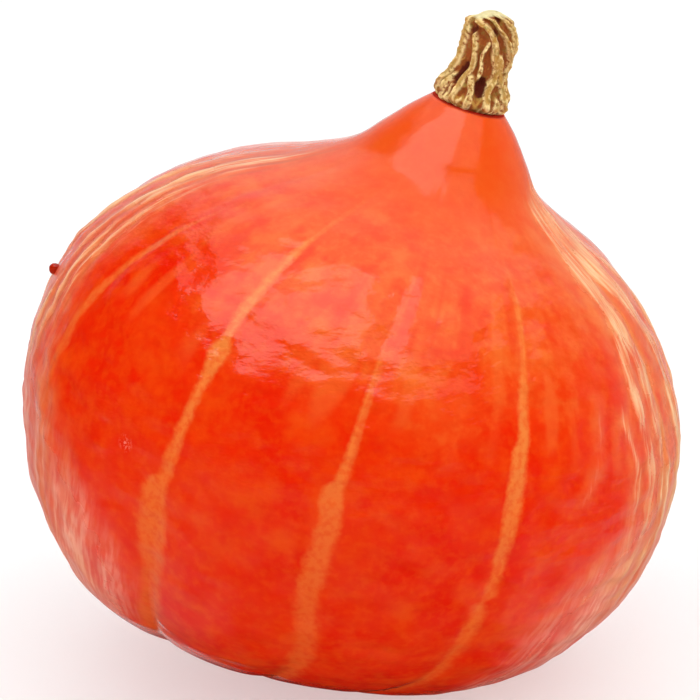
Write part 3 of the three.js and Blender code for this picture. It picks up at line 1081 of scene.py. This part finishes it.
studio = {
    "floorSize": 6.0,
    "floorTone": 0.5,
    "floorRoughness": 0.6,
    "floorGlow": 0.45,  # makes the table read as white all round the object
    "softbox": {"width": 0.88, "depth": 0.65, "power": 2.4, "place": (-0.15, -0.23, 0.98)},
    "fills": [(-45, 14, 1.65), (45, 17, 2.1), (135, 20, 2.05), (-135, 20, 1.6),
              (-90, 5, 0.3), (90, 5, 0.3)],  # turn, height in degrees and strength
    "fillSpreadDeg": 120,
    "elevationDeg": 17.3,
    "distance": 0.8955,
    "lens": 178.6,
    "farthest": 20,
    "aim": (-0.25, 0, -1.85),  # millimetres from the middle of the object's box
    "roomGlow": 0.12,  # the plain light that falls on the object from all round
    # What the shiny rind mirrors. A ramp holds two directions, then how bright it is at
    # each. Directions go from -1 to 1, and the ceiling's edges are slopes away from
    # straight up. The backdrop's aim is the way that the camera looks.
    "mirrored": {
        "wall": {"slant": 0.45, "back": (0.2, 1, 0, 0.6), "top": (-0.35, -0.2),
                 "right": (0, 0.8, 1, 0.5)},
        "ceiling": {"left": (-0.66, -0.5), "right": (1.1, 0.95, 0, 0.75),
                    "front": (-0.75, -0.65), "top": (0.3, 0.5)},
        "table": {"top": (-0.28, -0.5), "under": (-0.98, -0.85), "back": (-0.5, 0.2, 0.04, 0.36),
                  "right": (-0.6, 0.6, 0.7, 1), "aside": (0.2, 0.6, 0.02, 1)},
        "backdrop": {"aim": (0.955, -0.297), "behind": (0.84, 0.99, 0, 0.9),
                     "aside": (0.05, 0.25), "top": (-0.4, -0.3)},
    },
}


def addFloor():
    half = studio["floorSize"] / 2
    mesh = bpy.data.meshes.new("tableTop")
    corners = [(-half, -half, 0), (half, -half, 0), (half, half, 0), (-half, half, 0)]
    mesh.from_pydata(corners, [], [(0, 1, 2, 3)])
    material, n = newMaterial("paleFloor")
    tone = studio["floorTone"]
    n.finish({"Base Color": (tone, tone, tone, 1), "Roughness": studio["floorRoughness"],
              "Emission Color": (1, 1, 1, 1), "Emission Strength": studio["floorGlow"]})
    mesh.materials.append(material)
    floor = newObject("tableTop", mesh)
    floor.visible_glossy = False  # the rind mirrors the dark room, not the table


def addSoftbox(look):
    # a wide light that hangs level over the table
    light = bpy.data.lights.new("softbox", "AREA")
    light.shape = "RECTANGLE"
    light.size = look["width"]
    light.size_y = look["depth"]
    light.energy = look["power"]
    newObject("softbox", light).location = look["place"]


def addFill(name, turnDeg, elevationDeg, strength):
    # broad, even light from one quarter, which leaves no mirrored spot on the rind
    light = bpy.data.lights.new(name, "SUN")
    light.angle = math.radians(studio["fillSpreadDeg"])
    light.energy = strength
    light.cycles.use_multiple_importance_sampling = False
    lamp = newObject(name, light)
    turn, elevation = math.radians(turnDeg), math.radians(elevationDeg)
    away = Vector((math.sin(turn) * math.cos(elevation), -math.cos(turn) * math.cos(elevation),
                   math.sin(elevation)))
    lamp.rotation_euler = away.to_track_quat("Z", "Y").to_euler()
    lamp.visible_glossy = False


def mirroredRoom(n, toRight, toBack, toTop):
    room = studio["mirrored"]
    look = room["wall"]  # it stands behind and is turned a little to the right
    slanted = n.math("MULTIPLY_ADD", toRight, look["slant"], toBack)
    wall = n.product((slanted, *look["back"]), (toTop, *look["top"]),
                     (toRight, *look["right"]))
    look = room["ceiling"]  # a bright panel with straight edges
    up = n.larger(toTop, 0.01)
    sideways = n.math("DIVIDE", toRight, up)
    backwards = n.math("DIVIDE", toBack, up)
    ceiling = n.product((sideways, *look["left"]), (sideways, *look["right"]),
                        (backwards, *look["front"]), (toTop, *look["top"]))
    look = room["table"]  # dark straight below, in front and in the middle
    table = n.product((toTop, *look["top"]), (toTop, *look["under"]),
                      (toBack, *look["back"]), (toRight, *look["right"]))
    table = n.times(table, n.span(n.math("ABSOLUTE", toRight), *look["aside"]))
    look = room["backdrop"]  # straight behind, where it lights up the fruit's outline
    back, top = look["aim"]
    behind = n.math("MULTIPLY_ADD", toBack, back, n.times(toTop, top))
    beside = n.span(n.math("ABSOLUTE", toRight), *look["aside"])
    backdrop = n.times(n.span(behind, *look["behind"]),
                       n.larger(beside, n.span(toTop, *look["top"])))
    return n.larger(n.larger(n.larger(wall, ceiling), table), backdrop)


def addRoom():
    # soft light from all round, and dimmer walls that the shiny rind mirrors
    world = bpy.data.worlds.new("paleRoom")
    world.use_nodes = True
    n = Nodes(world.node_tree)
    split = n.new("SeparateXYZ")
    n.put(split.inputs[0], n.new("TexCoord").outputs["Generated"])
    mirrored = mirroredRoom(n, *split.outputs)
    path = n.new("LightPath")
    unseen = n.blend(path.outputs["Is Glossy Ray"], studio["roomGlow"], mirrored)
    strength = n.blend(path.outputs["Is Camera Ray"], unseen, 1.0)
    n.put(n.tree.nodes["Background"].inputs["Color"], (1, 1, 1, 1))
    n.put(n.tree.nodes["Background"].inputs["Strength"], strength)
    bpy.context.scene.world = world
    bpy.context.scene.view_settings.view_transform = "Standard"


def addCamera(target):
    elevation = math.radians(studio["elevationDeg"])
    back = Vector((0, -math.cos(elevation), math.sin(elevation)))
    camera = newObject("camera", bpy.data.cameras.new("camera"))
    camera.data.lens = studio["lens"]
    camera.location = target + back * studio["distance"]
    camera.rotation_euler = (-back).to_track_quat("-Z", "Y").to_euler()
    camera.data.clip_end = studio["farthest"]
    bpy.context.scene.camera = camera


middle = (cadBox[0] + cadBox[1]) / 2
addFloor()
addRoom()
addSoftbox(studio["softbox"])
for number, (turnDeg, elevationDeg, strength) in enumerate(studio["fills"]):
    addFill("fill%d" % number, turnDeg, elevationDeg, strength)
addCamera(middle + Vector(studio["aim"]) * millimetre)
print("studio made")
